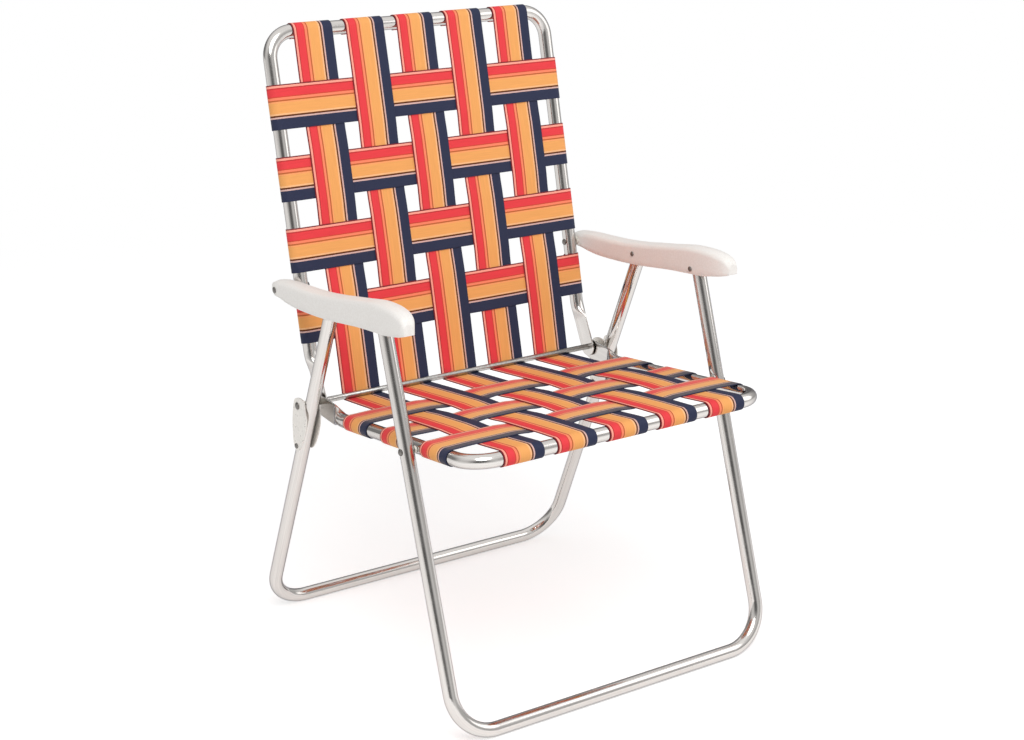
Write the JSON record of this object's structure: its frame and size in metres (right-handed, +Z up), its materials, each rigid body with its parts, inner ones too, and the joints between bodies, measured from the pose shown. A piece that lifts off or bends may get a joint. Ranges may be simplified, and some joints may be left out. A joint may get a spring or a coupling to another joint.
{
  "type": "folding lawn chair",
  "caption": "Folding lawn chair with U-shaped bent tube frames, moulded armrests on a folding linkage, and a seat and back of interlaced flat webbing.",
  "frame": {"origin": "on the floor in the middle of the footprint", "axes": "+Z up, -Y the way the sitter faces, +X to the sitter's left"},
  "size_m": [0.626, 0.6131, 0.9843],
  "materials": {
    "frame_tube": "polished, lightly worn",
    "hardware": "dull plated",
    "armrest_plastic": "satin moulded, off-white",
    "nylon": "plain moulded",
    "webbing": "woven flat webbing, striped lengthwise"
  },
  "bodies": {
    "seat": {"seat_frame": "frame_tube", "hinge_rod": "hardware", "seat_leg_rivet_left": "hardware", "seat_leg_rivet_right": "hardware", "seat_leg_collar_left": "nylon", "seat_leg_collar_right": "nylon", "hinge_washer_left": "nylon", "hinge_washer_right": "nylon", "hinge_sleeve_inner_left": "nylon", "hinge_sleeve_inner_right": "nylon", "hinge_sleeve_outer_left": "nylon", "hinge_sleeve_outer_right": "nylon", "seat_long_strap_1": "webbing", "seat_long_strap_2": "webbing", "seat_long_strap_3": "webbing", "seat_long_strap_4": "webbing", "seat_long_strap_5": "webbing", "seat_cross_strap_1": "webbing", "seat_cross_strap_2": "webbing", "seat_cross_strap_3": "webbing"},
    "back": {"back_frame": "frame_tube", "back_long_strap_1": "webbing", "back_long_strap_2": "webbing", "back_long_strap_3": "webbing", "back_long_strap_4": "webbing", "back_long_strap_5": "webbing", "back_cross_strap_1": "webbing", "back_cross_strap_2": "webbing", "back_cross_strap_3": "webbing", "back_cross_strap_4": "webbing"},
    "arms": {"armrest_left": "armrest_plastic", "armrest_right": "armrest_plastic", "arm_rear_rivet_left": "hardware", "arm_rear_rivet_right": "hardware", "arm_rear_washer_left": "nylon", "arm_rear_washer_right": "nylon", "arm_middle_rivet_left": "hardware", "arm_middle_rivet_right": "hardware", "arm_front_rivet_left": "hardware", "arm_front_rivet_right": "hardware"},
    "rear_legs": {"rear_leg_frame": "frame_tube"},
    "front_legs": {"front_leg_frame": "frame_tube"},
    "links": {"link_plate_inner_left": "hardware", "link_plate_inner_right": "hardware", "link_plate_outer_left": "hardware", "link_plate_outer_right": "hardware", "link_stud_inner_left": "hardware", "link_stud_inner_right": "hardware", "link_stud_outer_left": "hardware", "link_stud_outer_right": "hardware"}
  },
  "joints": [
    {"name": "back_fold", "type": "hinge", "parent": "seat", "child": "back", "pos_m": [0, 0.1472, 0.4076], "axis": [1, 0, 0], "range_deg": [0, 92]},
    {"name": "arm_swing", "type": "hinge", "parent": "back", "child": "arms", "pos_m": [0, 0.2035, 0.584], "axis": [1, 0, 0], "range_deg": [-92, 0]},
    {"name": "rear_leg_swing", "type": "hinge", "parent": "arms", "child": "rear_legs", "pos_m": [0, 0.04605, 0.5915], "axis": [1, 0, 0], "range_deg": [0, 52.53]},
    {"name": "front_leg_swing", "type": "hinge", "parent": "seat", "child": "front_legs", "pos_m": [0, -0.16018, 0.4211], "axis": [1, 0, 0], "range_deg": [0, 92]},
    {"name": "link_swing", "type": "hinge", "parent": "seat", "child": "links", "pos_m": [0, 0.1472, 0.4076], "axis": [1, 0, 0], "range_deg": [-87.93, 0]}
  ],
  "couplings": [
    {"joint": "arm_swing", "follows": "back_fold", "ratio": -1},
    {"joint": "rear_leg_swing", "follows": "back_fold", "ratio": 0.57096},
    {"joint": "front_leg_swing", "follows": "back_fold", "ratio": 1},
    {"joint": "link_swing", "follows": "back_fold", "ratio": -0.95572}
  ]
}
